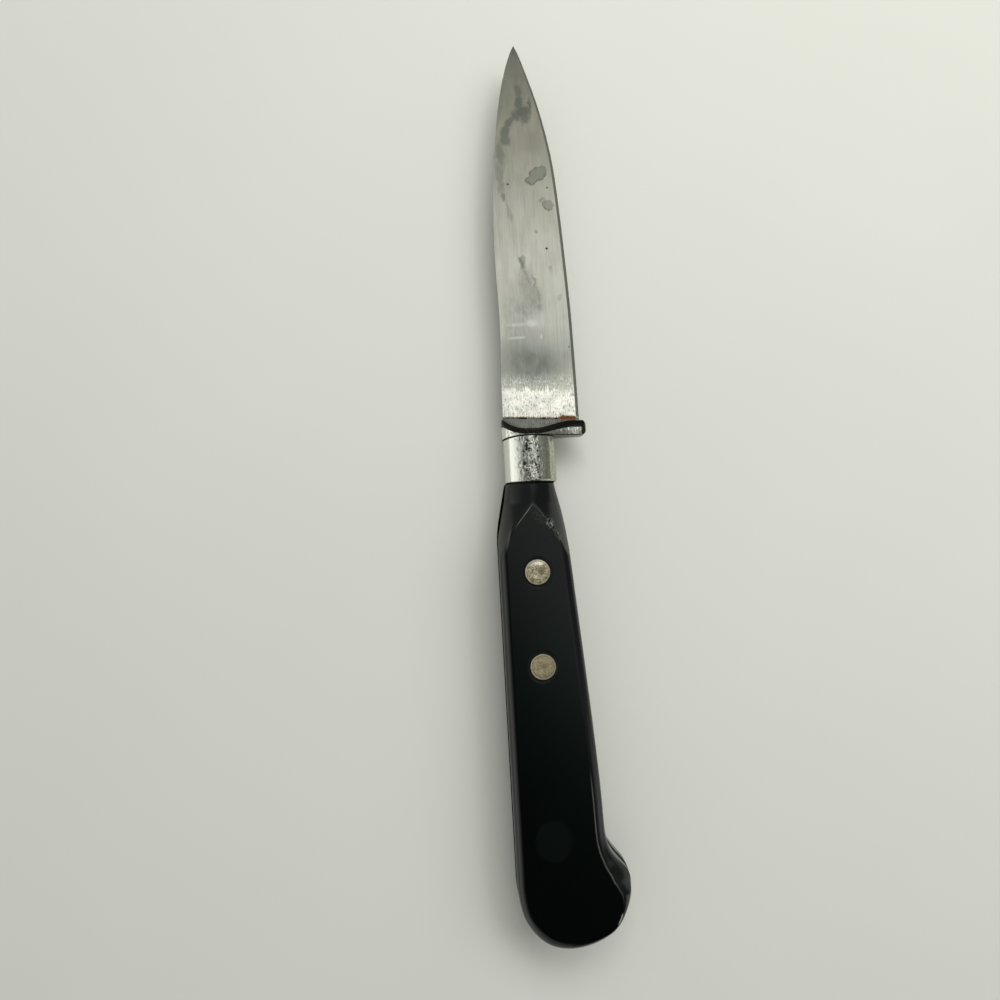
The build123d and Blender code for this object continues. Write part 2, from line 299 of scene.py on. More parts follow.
# Light: a pale room and two soft lamps. What metal and gloss mirror is a studio: a bright strip
# overhead towards the tip, pale cards to both sides, and darkness above the handle and the butt,
# with the pale room again low down there
room = {"strength": 0.5, "colour": "f2f3ef", "backdrop": "e8e9e4"}
studio = {
    "slant": 2.2, "slantReach": 0.1,  # the ceiling brightens to the right as it does towards the tip
    # sine of the angle from straight up towards the tip, with the slant: brightness and colour there
    "ceiling": (
        (-1.25, 0.6, "fafbf8"), (-0.90, 0.5, "fafbf8"), (-0.74, 0.0, "ffffff"), (-0.25, 0.0, "ffffff"),
        (-0.13, 0.05, "e8ffff"), (-0.05, 0.11, "ecfff8"), (0.03, 0.48, "ecfff6"), (0.11, 0.60, "f4fff8"),
        (0.20, 0.56, "fcfff8"), (0.33, 0.56, "ffffff"), (0.365, 1.45, "ffffff"), (0.385, 1.9, "fffff8"),
        (0.43, 1.6, "fffff8"), (0.47, 1.0, "f4f8ff"), (0.50, 0.92, "f4f8ff"), (0.555, 1.07, "ffffff"),
        (0.60, 0.98, "ffffff"), (0.64, 0.84, "ffffff"), (0.68, 0.72, "fffcf8"), (0.74, 0.57, "fffcf4"),
        (0.78, 0.47, "fffff8"), (0.83, 0.35, "fffff8"), (0.88, 0.25, "fffff8"), (1.15, 0.20, "fffff8"),
    ),
    # where each card begins and is full, to the right and towards the tip, its brightness and colour
    "cards": {
        "dim": (0.105, 0.05, 0.34, 0.44, 0.30, "f8fffa"),
        "right": (0.20, 0.60, 1.3, 1.2, 0.22, "fafff6"),
        "lowerRight": (0.50, 0.92, -0.12, -0.33, 1.3, "f8fff8"),
    },
    # sine of the angle to the left, and brightness there, which fades out towards the tip
    "leftCard": ((0.15, 0.0), (0.40, 0.19), (0.66, 0.72), (0.87, 1.25), (1.0, 1.5)),
    "leftTop": (0.15, 0.30), "leftColour": "fdfdf6",
}
lamps = {
    "windowLamp": {"at": (0.125, 0.375, 0.45), "size": (0.45, 0.25), "power": 2.1, "colour": "fdfdf8"},
    "sideLamp": {"at": (0.7, 0.25, 0.7), "size": (0.6, 0.6), "power": 3.6, "colour": "f6f6f2"},
}


def makeRoom():
    world = bpy.data.worlds.new("pale room")
    bpy.context.scene.world = world
    world.use_nodes = True
    world.node_tree.nodes.clear()
    add = partial(addNode, world.node_tree)
    axes = add("SeparateXYZ", Vector=add("TexCoord").outputs["Generated"])
    x, y = axes.outputs["X"], axes.outputs["Y"]

    def spread(value, stops):
        # a colour ramp with its stops at those values
        low, high = stops[0][0], stops[-1][0]
        ramp = add("ValToRGB", Fac=add("MapRange", Value=value, From_Min=low, From_Max=high))
        band = ramp.color_ramp
        while len(band.elements) < len(stops):
            band.elements.new(0.5)
        for element, (at, strength, colour) in zip(band.elements, stops):
            element.position = (at - low) / (high - low)
            element.color = srgb(colour, strength)
        return ramp.outputs["Color"]

    sideways = add("Clamp", Value=x, Min=-studio["slantReach"], Max=studio["slantReach"])
    slanted = add("Math", "MULTIPLY_ADD", sideways, studio["slant"], y)
    seen = spread(slanted, studio["ceiling"])
    for begin, full, near, far, strength, colour in studio["cards"].values():
        share = add("MapRange", **eased, Value=x, From_Min=begin, From_Max=full)
        reach = add("MapRange", **eased, Value=y, From_Min=near, From_Max=far)
        share = add("Math", "MULTIPLY", share, reach)
        seen = layered(add, seen, (share, srgb(colour, strength)))
    leftwards = add("Math", "MULTIPLY", x, -1.0)
    card = spread(leftwards, [(at, strength, studio["leftColour"]) for at, strength in studio["leftCard"]])
    low, high = studio["leftTop"]
    share = add("MapRange", **eased, Value=y, From_Min=high, From_Max=low)
    seen = add("Mix", **tinted, blend_type="ADD", Factor=share, A=seen, B=card)
    ray = add("LightPath").outputs
    plain = srgb(room["colour"], room["strength"])
    colour = layered(add, plain, (ray["Is Glossy Ray"], seen), (ray["Is Camera Ray"], room["backdrop"]))
    add("OutputWorld", Surface=add("Background", Color=colour))


makeRoom()
for name, lamp in lamps.items():
    bpy.ops.object.light_add(type="AREA", location=lamp["at"])
    light = bpy.context.object
    light.name = name
    light.data.shape = "RECTANGLE"
    light.data.size, light.data.size_y = lamp["size"]
    light.data.energy = lamp["power"]
    light.data.color = srgb(lamp["colour"])[:3]
    light.rotation_mode = "QUATERNION"
    light.rotation_quaternion = (-Vector(lamp["at"])).to_track_quat("-Z", "Y")
    light.visible_glossy = False
    light.visible_camera = False
print("table and light set")

# Blade: carbon steel, ground lengthwise on a belt and never polished since, so it mirrors sharply
# along its length and smears across it, and old juice has left grey stains in it
blade = {
    # a belt's own scratches are some 0.05 mm wide, too fine to show, so the grain is drawn coarser
    "patterns": {
        "grain": (0.22, 9.0, 1.0, 3, 0.5), "streaks": (0.66, 27.0, 1.0, 2, 0.5),
        "patchy": (2.222, 6.25, 1.0, 3, 0.5), "warmth": (7.143, 7.143, 7.143, 3, 0.5),
        "grey": (3.125, 3.125, 3.125, 4, 0.6), "ragged": (0.4545, 2.857, 1.0, 4, 0.7),
        "mottle": (2.0, 2.857, 1.0, 4, 0.6), "blotched": (0.625, 1.6667, 1.0, 5, 0.7),
        "scratches": (0.2381, 0.6667, 1.0, 5, 0.65), "ticks": (0.25, 0.7692, 1.0, 4, 0.7),
        "specks": (0.4545, 1.0, 1.0, 5, 0.75),
    },
    "roughness": 0.15, "grainDepth": 0.02,
    "heelY": 13.88, "heelLean": 0.057,  # the heel runs back a little towards the edge
    # length of the polished strip at the heel, how far its border juts out, and where it starts to
    "polished": 7.46, "raggedness": 7.0, "raggedFrom": (-8.0, -5.5),
    # the dull strip in front of it: where it fades and begins, from the heel, and its middle
    "dullStrip": ((24.0, 14.5), (1.46, 12.0)), "dullMiddle": (-2.3, 27.0, 14.0, 13.0, 0, 0.8),
    # scratches between both: middle and width of their strip, and for each kind where its pattern
    # begins and is full, its strength and colour
    "borderStrip": (8.86, 2.6, 0.6),
    "borderScratches": ((0.50, 0.60, 0.32, "e4e8ea"), (0.43, 0.36, 0.5, "55584f")),
    # the rows below are x, y, width, length, turn and strength
    "lightScratches": (
        (-5.2, 37.1, 4.6, 0.9, 2, 0.45), (-2.0, 37.3, 2.6, 1.6, 0, 0.45), (-5.6, 33.9, 3.8, 0.6, 2, 0.45),
        (0.4, 34.0, 0.5, 1.2, 0, 0.45),
    ),
    "stains": (
        (-1.8, 94.6, 1.5, 4.4, 0, 0.55), (-1.7, 92.0, 1.9, 4.0, 0, 0.75), (0.8, 90.9, 1.0, 3.4, -4, 0.75),
        (-0.9, 89.5, 4.0, 2.9, 0, 0.85), (-0.3, 87.9, 2.2, 2.4, 0, 0.7), (-2.7, 88.7, 2.6, 1.7, -40, 0.75),
        (-4.3, 87.0, 1.5, 4.6, -40, 0.7), (-5.5, 84.6, 2.2, 3.4, -15, 0.75), (-5.6, 82.6, 2.4, 2.8, 0, 0.7),
        (-6.9, 79.2, 1.9, 7.0, 3, 0.5), (-7.4, 73.4, 1.7, 8.0, 3, 0.42), (-6.8, 68.6, 0.8, 2.4, 0, 0.6),
        (-5.7, 64.8, 1.0, 5.4, 12, 0.3), (1.5, 81.5, 5.0, 6.0, 20, 0.16), (-6.4, 92.0, 2.2, 9.0, -12, 0.2),
        (-3.2, 52.3, 1.35, 3.0, 4, 0.8), (-2.6, 49.9, 1.0, 2.2, 35, 0.4), (-0.5, 47.3, 0.7, 3.6, 8, 0.5),
        (0.1, 45.0, 1.2, 3.4, 10, 0.3), (-1.9, 47.9, 0.6, 2.6, 20, 0.3), (0.5, 43.9, 0.7, 2.2, 8, 0.45),
        (0.6, 40.9, 1.5, 1.9, 0, 0.5), (3.6, 50.7, 1.0, 1.4, 0, 0.3), (5.4, 43.5, 1.0, 1.6, 0, 0.3),
        (0.6, 59.6, 0.8, 1.2, 0, 0.5), (2.4, 67.2, 1.5, 0.9, 20, 0.42),
    ),
    "rimmedStains": ((1.5, 73.6, 2.9, 6.2, -52, 0.5), (3.9, 65.9, 2.6, 2.7, 15, 0.45)),
    # the whole tip is painted greyer, partly patina and partly painted shade for the darker reflection of its
    # leaning faces; the flat behind the middle has gone greyer too
    "patinaAndTipShade": (
        (-0.8, 103.0, 16.0, 26.0, 0, 0.42), (0.5, 84.0, 18.0, 30.0, 0, 0.14), (3.0, 96.0, 3.0, 14.0, 14, 0.3),
        (-2.7, 46.8, 3.4, 7.6, 0, 0.56), (-1.2, 43.2, 4.2, 7.0, 8, 0.66), (-3.7, 40.6, 6.4, 4.6, 0, 0.62),
        (-5.6, 38.0, 8.0, 15.0, 0, 0.46), (-6.2, 33.0, 7.0, 8.0, 0, 0.42), (-2.2, 34.5, 7.0, 4.0, 0, 0.36),
    ),
    # x, y and size
    "pits": ((2.9, 55.4, 0.6), (-5.5, 71.6, 0.55), (6.9, 31.2, 0.4), (7.0, 54.1, 0.5), (4.0, 70.4, 0.45),
             (-5.7, 14.3, 1.3), (-4.9, 14.25, 1.2), (-0.3, 14.0, 1.1), (-8.9, 14.5, 0.6), (2.6, 13.9, 0.8)),
    "rust": (5.5, 14.1, 4.5, 1.15, 0, 0.3),
}


def groundSteel():
    material, add = newMaterial("carbon steel, belt ground and stained")
    place = inMillimetres(add)
    pattern = patternsFrom(add, place, blade["patterns"])
    axes = add("SeparateXYZ", Vector=place).outputs
    ahead = add("Math", "MULTIPLY_ADD", axes["X"], blade["heelLean"], axes["Y"])
    ahead = add("Math", "SUBTRACT", ahead, blade["heelY"])
    end = blade["polished"]

    # the strip at the heel was polished for the bolster, with a ragged border but for its left end
    low, high = blade["raggedFrom"]
    ragged = add("MapRange", **eased, Value=axes["X"], From_Min=low, From_Max=high,
                 To_Max=blade["raggedness"])
    tooth = add("Math", "SUBTRACT", pattern["ragged"], 0.44)
    border = add("Math", "MULTIPLY_ADD", tooth, ragged, ahead)
    polished = add("MapRange", **eased, Value=border, From_Min=end + 0.25, From_Max=end - 0.25)
    tint = add("Mix", **tinted, Factor=pattern["warmth"], A=srgb("cacdbf"), B=srgb("bcb9ab"))
    grey = add("MapRange", **eased, Value=pattern["grey"], From_Min=0.44, From_Max=0.60)
    bright = add("Mix", **tinted, Factor=grey, A=srgb("e2e1d8"), B=srgb("cdcdc6"))
    tint = layered(add, tint, (polished, bright))

    # the grain, which shows in some places more than in others
    patchy = add("MapRange", Value=pattern["patchy"], From_Min=0.4, From_Max=0.6, To_Min=0.05, To_Max=0.2)
    for name, share in (("grain", patchy), ("streaks", 0.06)):
        light = add("MapRange", Value=pattern[name], From_Min=0.3, From_Max=0.7)
        tint = add("Mix", **tinted, blend_type="MULTIPLY", Factor=share, A=tint, B=light)

    # the grinding starts dull in front of the strip, most of all in the middle
    dull, rise = [add("MapRange", **eased, Value=ahead, From_Min=low, From_Max=high)
                  for low, high in blade["dullStrip"]]
    rise = add("Math", "SUBTRACT", rise, polished, use_clamp=True)
    dull = add("Math", "MULTIPLY", dull, rise)
    middle = add("MapRange", Value=patch(add, place, *blade["dullMiddle"]), To_Min=0.45)
    dull = add("Math", "MULTIPLY", dull, middle)
    clouds = add("MapRange", Value=pattern["mottle"], From_Min=0.25, From_Max=0.75)
    shade = add("Mix", **tinted, Factor=clouds, A=srgb("868c8f"), B=srgb("acb0b2"))
    tint = add("Mix", **tinted, blend_type="MULTIPLY", Factor=dull, A=tint, B=shade)

    # scratches that the belt left, white and black, where the dull strip meets the polished one
    middle, far, near = blade["borderStrip"]
    border = add("Math", "SUBTRACT", ahead, middle)
    border = add("Math", "ABSOLUTE", border)
    border = add("MapRange", Value=border, From_Min=far, From_Max=near)
    for low, high, strength, colour in blade["borderScratches"]:
        scratch = add("MapRange", **eased, Value=pattern["scratches"], From_Min=low, From_Max=high,
                      To_Max=strength)
        scratch = add("Math", "MULTIPLY", scratch, border)
        tint = layered(add, tint, (scratch, colour))

    # patina, with painted shade at the tip, and stains, two of them with a dark rim
    fine = warped(add, place, 0.3, 0.5)
    uneven = warped(add, warped(add, place, 0.9, 1.8), 0.35, 0.5)
    scratched = spots(add, fine, blade["lightScratches"], 0.5)
    broken = add("MapRange", Value=pattern["blotched"], From_Min=0.3, From_Max=0.6, To_Min=0.45)
    patinaAndTipShade = add("Math", "MULTIPLY", spots(add, place, blade["patinaAndTipShade"], 0.75), broken)
    stains, rims = [spots(add, uneven, blade["stains"], 0.42)], []
    for x, y, wide, long, turn, strength in blade["rimmedStains"]:
        body = patch(add, uneven, x, y, wide, long, turn, 0.08)
        inner = patch(add, uneven, x + 0.12, y + 0.12, wide * 0.84, long * 0.9, turn, 0.08)
        stains.append(add("Math", "MULTIPLY", body, strength))
        rims.append(add("Math", "SUBTRACT", body, inner, use_clamp=True))
    stain = strongest(add, stains)
    rim = add("Math", "MULTIPLY", strongest(add, rims), 0.55)

    # near the heel: a brown tinge, pits, ticks drawn out along the grain, specks, and a black line in the
    # crevice at the guard, painted shade with dirt
    brown = add("MapRange", **eased, Value=ahead, From_Min=2.4, From_Max=0.2, To_Max=0.5)
    brown = add("Math", "MULTIPLY", brown, clouds)
    pits = strongest(add, [patch(add, fine, x, y, size, size * 0.8, 0, 0.4) for x, y, size in blade["pits"]])
    tick = add("MapRange", **eased, Value=pattern["ticks"], From_Min=0.55, From_Max=0.68)
    nearHeel = add("MapRange", Value=ahead, From_Min=end + 3.0, From_Max=end - 3.0)
    tick = add("Math", "MULTIPLY", tick, nearHeel)
    speck = add("MapRange", **eased, Value=pattern["specks"], From_Min=0.575, From_Max=0.66, To_Max=0.85)
    speck = add("Math", "MULTIPLY", speck, polished)
    dark = add("Math", "MULTIPLY_ADD", tick, 0.65, pits, use_clamp=True)
    dark = add("Math", "MAXIMUM", dark, speck)
    crevice = add("Math", "MULTIPLY_ADD", pattern["ticks"], -1.2, ahead)
    crevice = add("MapRange", **eased, Value=crevice, From_Min=0.2, From_Max=-0.2, To_Max=0.85)
    rust = patch(add, warped(add, place, 0.45, 0.7), *blade["rust"])
    flaked = add("MapRange", Value=pattern["scratches"], From_Min=0.40, From_Max=0.58)
    crust = add("Mix", **tinted, Factor=flaked, A=srgb("24160a"), B=srgb("8a4a18"))

    # the strip at the cutting edge leans more than the faces and is painted darker, painted shade for its
    # darker reflection; between the scales the tang is painted black and rough
    lean = add("SeparateXYZ", Vector=add("TexCoord").outputs["Normal"]).outputs["X"]
    bevelShade = add("MapRange", **eased, Value=lean, From_Min=0.12, From_Max=0.2)
    hidden = add("MapRange", Value=axes["Y"], From_Min=ferruleBackY + 0.3, From_Max=ferruleBackY - 0.3)
    tint = layered(add, tint, (scratched, "e9eadf"), (patinaAndTipShade, "7f7f75"), (stain, "83857a"), (rim, "5a5c54"),
                   (brown, "b59b86"), (dark, "2e2c24"), (crevice, "1a1915"), (rust, crust),
                   (bevelShade, "b2b3a7"), (hidden, "0a0b09"))

    rough = add("Math", "MULTIPLY_ADD", stain, 0.16, blade["roughness"])
    for mask in (hidden, rust):
        rough = add("Math", "MULTIPLY_ADD", mask, 0.5, rough)
    metal = add("Math", "MULTIPLY_ADD", rust, -0.9, 1.0)
    height = add("Math", "MULTIPLY_ADD", tick, -0.8, pattern["grain"])
    bump = add("Bump", Strength=0.3, Distance=blade["grainDepth"] * mm, Height=height)
    shader = add("BsdfPrincipled", Base_Color=tint, Metallic=metal, Roughness=rough, Normal=bump)
    add("OutputMaterial", Surface=shader)
    return material


# Rivets: nickel silver heads, a little domed, turned, then scratched by use, so they are creamy and
# only half bright
rivets = {
    "x": -4.135, "frontY": -21.825, "rearY": -43.275, "radius": 3.0,
    "patterns": {"mottle": (0.5, 0.5, 0.5, 4, 0.7)},
    "roughness": 0.54, "mottleDepth": 0.12,
    # the head's y, how far and how finely the outline is pushed about, place from the head's middle,
    # width, length, turn and softness; on the front head a patch in the dimple and one above it are painted
    # highlights
    "marks": {
        "blot": ("frontY", 0.5, 0.8, 0.75, 0.3, 1.3, 2.0, -20, 0.4),
        "rearBlot": ("rearY", 0.5, 0.8, 0.3, -0.2, 1.5, 2.0, 20, 0.4),
        "punched": ("frontY", 0.3, 0.6, -0.55, -0.9, 1.2, 1.3, 0, 0.5),
        "rubbed": ("frontY", 0.4, 0.8, 0.0, 2.2, 4.4, 1.5, 0, 0.4),
    },
    "grooveAt": 0.55, "grooveWidth": (0.22, 0.05), "rim": (0.5, 0.15),  # in from the edge
}


def nickelSilver():
    material, add = newMaterial("nickel silver, turned and worn")
    place = inMillimetres(add)
    mottle = patternsFrom(add, place, rivets["patterns"])["mottle"]
    flat = add("VectorMath", "MULTIPLY", place, (1, 1, 0))
    front, rear = [add("VectorMath", "DISTANCE", flat, (rivets["x"], rivets[y], 0))
                   for y in ("frontY", "rearY")]
    away = add("Math", "MINIMUM", front, rear)
    mark = {}
    for name, (y, reach, size, right, up, *oval) in rivets["marks"].items():
        rough = warped(add, flat, reach, size)
        mark[name] = patch(add, rough, rivets["x"] + right, rivets[y] + up, *oval)

    light = add("MapRange", **eased, Value=mottle, From_Min=0.42, From_Max=0.56)
    tint = add("Mix", **tinted, Factor=light, A=srgb("b3a278"), B=srgb("fff3da"))
    # the rear head has dulled evenly
    dulled = add("MapRange", Value=add("SeparateXYZ", Vector=place).outputs["Y"],
                 From_Min=rivets["frontY"] - 6, From_Max=rivets["rearY"] + 6, To_Max=0.6)
    faint = add("Math", "MULTIPLY", mark["rearBlot"], 0.5)
    blot = add("Math", "MAXIMUM", mark["blot"], faint)
    blot = add("Math", "MULTIPLY", blot, 0.55)
    # painted highlights on the front head: paler and smoother
    highlightMask = add("Math", "MAXIMUM", mark["punched"], mark["rubbed"])
    # a darker ring painted in the groove as painted shade, and a pale ring painted on the rounded rim as a
    # painted highlight
    wide, narrow = rivets["grooveWidth"]
    groove = add("Math", "SUBTRACT", away, rivets["radius"] - rivets["grooveAt"])
    groove = add("Math", "ABSOLUTE", groove)
    groove = add("MapRange", **eased, Value=groove, From_Min=wide, From_Max=narrow, To_Max=0.35)
    inner, outer = rivets["rim"]
    rim = add("MapRange", Value=away, From_Min=rivets["radius"] - inner, From_Max=rivets["radius"] - outer)
    tint = layered(add, tint, (dulled, "cbbb95"), (blot, "7d6b48"), (highlightMask, "fff4dc"), (groove, "77694f"),
                   (rim, "e2dbc8"))

    rough = add("Math", "MULTIPLY_ADD", highlightMask, -0.34, rivets["roughness"])
    bump = add("Bump", Strength=0.5, Distance=rivets["mottleDepth"] * mm, Height=mottle)
    shader = add("BsdfPrincipled", Base_Color=tint, Metallic=1.0, Roughness=rough, Normal=bump)
    add("OutputMaterial", Surface=shader)
    return material


# Guard and ferrule: plated with nickel, polished bright, and eaten by pits where the plate failed,
# so they mirror sharply to the left, with painted glints as white flecks in the middle
plating = {
    "patterns": {"coarse": (0.6667, 1.0, 0.8333, 5, 0.7), "fine": (0.2222, 0.3846, 0.3333, 3, 0.5),
                 "lines": (0.25, 4.0, 1.0, 2, 0.5)},
    "roughness": 0.19, "pitDepth": 0.08,
    "pitted": ((-6.9, -5.7), (-0.2, -2.4)),  # x at which the pits begin and end
    "gash": (-4.9, 7.1, 0.7, 2.2, 0, 0.3),
}


def pittedPlate():
    material, add = newMaterial("nickel plate, polished and pitted")
    place = inMillimetres(add)
    pattern = patternsFrom(add, place, plating["patterns"])
    axes = add("SeparateXYZ", Vector=place).outputs
    grimeAndShade = add("Attribute", attribute_name="grimeAndShade").outputs["Fac"]
    field, middle = [add("MapRange", **eased, Value=axes["X"], From_Min=low, From_Max=high)
                     for low, high in plating["pitted"]]
    behind = add("MapRange", Value=axes["Y"], From_Min=ferruleHigh.y + 0.9, From_Max=ferruleHigh.y + 0.3)

    # holes in the plate, only behind the guard, and one long gash
    eaten = add("MapRange", **eased, Value=pattern["coarse"], From_Min=0.525, From_Max=0.585)
    for mask in (field, middle, behind):
        eaten = add("Math", "MULTIPLY", eaten, mask)
    gash = patch(add, warped(add, place, 0.4, 0.6), *plating["gash"])
    eaten = add("Math", "MAXIMUM", eaten, gash)
    holes = add("Math", "MULTIPLY", eaten, 0.95)

    # white flecks in the pitted field: painted glints
    paintedGlints = add("MapRange", **eased, Value=pattern["fine"], From_Min=0.42, From_Max=0.60, To_Max=0.8)
    paintedGlints = add("Math", "MULTIPLY", paintedGlints, field)
    line = add("MapRange", **eased, Value=pattern["lines"], From_Min=0.52, From_Max=0.66, To_Max=0.45)
    line = add("Math", "MULTIPLY", line, field)
    # painted shade: dark in the guard's steep rim, along its joint and at the ferrule's ends, broken up by
    # the fine cloud
    dirtAndShade = add("Math", "MULTIPLY_ADD", pattern["fine"], 0.5, grimeAndShade)
    dirtAndShade = add("MapRange", **eased, Value=dirtAndShade, From_Min=0.55, From_Max=0.95)
    tint = add("Mix", **tinted, Factor=field, A=srgb("d6d7cf"), B=srgb("cfcfc4"))
    tint = layered(add, tint, (paintedGlints, "fbfbf4"))
    # the ferrule's side towards the belly is painted darker, painted shade for the darker reflection on that
    # side
    bellyShade = add("Math", "MULTIPLY_ADD", middle, -1.0, behind, use_clamp=True)
    tint = add("Mix", **tinted, blend_type="MULTIPLY", Factor=bellyShade, A=tint, B=srgb("dcddd2"))
    tint = layered(add, tint, (line, "6b6b63"), (holes, "171613"), (dirtAndShade, "33342f"))

    rough = add("Math", "MULTIPLY_ADD", field, 0.04, plating["roughness"])
    rough = add("Math", "MULTIPLY_ADD", eaten, 0.2, rough)
    height = add("Math", "MULTIPLY", eaten, -1.0)
    height = add("Math", "MULTIPLY_ADD", pattern["fine"], 0.25, height)
    bump = add("Bump", Strength=0.6, Distance=plating["pitDepth"] * mm, Height=height)
    shader = add("BsdfPrincipled", Base_Color=tint, Metallic=1.0, Roughness=rough, Normal=bump)
    add("OutputMaterial", Surface=shader)
    return material


# Handle: black phenolic, hot moulded and buffed, so it is near black with a wet gloss, scuffed
# pale only along the arch where the flat begins, with a painted highlight along the belly edge and a painted
# glint behind the beak, and black and matt round the rivets and before the ferrule, painted shade with old
# dirt
phenolic = {
    "patterns": {"grit": (0.38462, 0.38462, 0.38462, 4, 0.7), "cloud": (11.111, 11.111, 11.111, 2, 0.5)},
    "roughness": 0.14, "gritDepth": 0.05,
    # x, y, width, length, turn and strength
    "scuffs": ((-0.7, -10.8, 1.6, 2.0, 20, 0.8), (0.9, -13.4, 1.1, 3.0, 26, 0.25),
               (-2.6, -9.4, 4.0, 2.6, -30, 0.08)),
    "scratches": ((-5.7, -7.9, 0.18, 3.4, -39, 0.5), (-7.2, -9.7, 0.2, 4.0, -39, 0.3),
                  (-10.3, -14.0, 0.5, 4.6, -14, 0.16)),
    "faintDisc": (-4.07, -82.0, 8.2, 9.0, 0, 0.12),  # a round patch, a little greyer than the rest
}


def mouldedBlack():
    material, add = newMaterial("black phenolic, moulded and buffed")
    place = inMillimetres(add)
    pattern = patternsFrom(add, place, phenolic["patterns"])
    grimeAndShade = add("Attribute", attribute_name="grimeAndShade").outputs["Fac"]
    # painted highlight: the pale line along the belly edge and the glint behind the beak
    rubbed = add("Attribute", attribute_name="wearAndHighlight").outputs["Fac"]
    broken = add("MapRange", **eased, Value=pattern["grit"], From_Min=0.47, From_Max=0.60)
    scuffs = spots(add, warped(add, place, 0.3, 0.8), phenolic["scuffs"], 0.6)
    scuffs = add("Math", "MULTIPLY", scuffs, broken)
    wearAndHighlight = strongest(add, [rubbed, scuffs, spots(add, place, phenolic["scratches"], 0.5)])
    disc = patch(add, place, *phenolic["faintDisc"])
    disc = add("Math", "MULTIPLY", disc, pattern["cloud"])
    tint = add("Mix", **tinted, Factor=pattern["cloud"], A=srgb("010403"), B=srgb("020605"))
    tint = layered(add, tint, (disc, "0d1110"), (wearAndHighlight, "8f8e88"), (grimeAndShade, "000000"))
    rough = add("Math", "MULTIPLY_ADD", pattern["grit"], 0.1, phenolic["roughness"])
    rough = add("Math", "MULTIPLY_ADD", wearAndHighlight, 0.4, rough)
    rough = add("Math", "MULTIPLY_ADD", grimeAndShade, 0.6, rough)
    bump = add("Bump", Strength=0.08, Distance=phenolic["gritDepth"] * mm, Height=pattern["grit"])
    shader = add("BsdfPrincipled", Base_Color=tint, Roughness=rough, Normal=bump, IOR=1.45)
    add("OutputMaterial", Surface=shader)
    return material


steel = groundSteel()
plate = pittedPlate()
black = mouldedBlack()
rivetMetal = nickelSilver()
for name, finish in (("blade_and_tang", steel), ("front_rivet_sleeve", rivetMetal),
                     ("rear_rivet_sleeve", rivetMetal)):
    nodes[name].data.materials.clear()
    nodes[name].data.materials.append(finish)
print("materials made")

# Rivet pins: a low dome with a dimple in the middle from the punch, and the shank below it
pin = {
    "topZ": 12.98, "headHeight": 1.5, "shankRadius": 1.55, "sides": 96,
    # radius and depth below topZ of the head's face, from the rim to the middle
    "profile": ((2.92, 0.26), (2.82, 0.17), (2.62, 0.15), (2.50, 0.18), (2.40, 0.15), (2.1, 0.09),
                (1.8, 0.05), (1.5, 0.02), (1.25, 0.02), (1.05, 0.04), (0.85, 0.08), (0.65, 0.13),
                (0.45, 0.17), (0.25, 0.19), (0.1, 0.2)),
    # each ring inside this radius sits this much further to the left and back
    "askewInside": 1.6, "askew": -0.09,
}


def makeFrontPin():
    low, high = [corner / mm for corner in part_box("front_rivet_pin")]
    middle = (low + high) / 2
    radius, depth = rivets["radius"], pin["profile"][0][1]
    top = pin["topZ"] - depth
    bottom = top - pin["headHeight"]
    bpy.ops.mesh.primitive_cylinder_add(
        vertices=pin["sides"], radius=radius * mm, depth=pin["headHeight"] * mm,
        location=(middle.x * mm, middle.y * mm, (top + bottom) / 2 * mm))
    piece = bpy.context.object
    piece.name = "frontRivetPin"
    bpy.ops.object.transform_apply(location=True, rotation=True, scale=True)
    bpy.ops.object.mode_set(mode="EDIT")
    bpy.ops.mesh.select_mode(type="FACE")

    def selectCap(z):
        bpy.ops.object.mode_set(mode="OBJECT")
        for face in piece.data.polygons:
            face.select = abs(face.normal.z) > 0.9 and abs(face.center.z / mm - z) < 0.01
        bpy.ops.object.mode_set(mode="EDIT")

    selectCap(top)
    for nextRadius, nextDepth in pin["profile"]:
        bpy.ops.mesh.inset(thickness=(radius - nextRadius) * mm)
        askew = pin["askew"] if nextRadius < pin["askewInside"] else 0
        bpy.ops.transform.translate(value=(askew * mm, askew * mm, (depth - nextDepth) * mm))
        radius, depth = nextRadius, nextDepth
    bpy.ops.mesh.poke()
    selectCap(bottom)
    bpy.ops.mesh.inset(thickness=(rivets["radius"] - pin["shankRadius"]) * mm)
    bpy.ops.mesh.extrude_region_move(TRANSFORM_OT_translate={"value": (0, 0, (low.z - bottom) * mm)})
    bpy.ops.mesh.select_mode(type="EDGE")
    bpy.ops.object.mode_set(mode="OBJECT")
    return piece


def makeRearPin(front):
    piece = copyOf(front, "rearRivetPin")
    editAll(piece)
    bpy.ops.transform.translate(value=(0, (rivets["rearY"] - rivets["frontY"]) * mm, 0))
    bpy.ops.object.mode_set(mode="OBJECT")
    return piece


frontPin = makeFrontPin()
rearPin = makeRearPin(frontPin)
finishPiece(frontPin, rivetMetal, "rivet_metal", "front_rivet_pin", angle=40)
finishPiece(rearPin, rivetMetal, "rivet_metal", "rear_rivet_pin", angle=40)
print("rivet pins modelled")

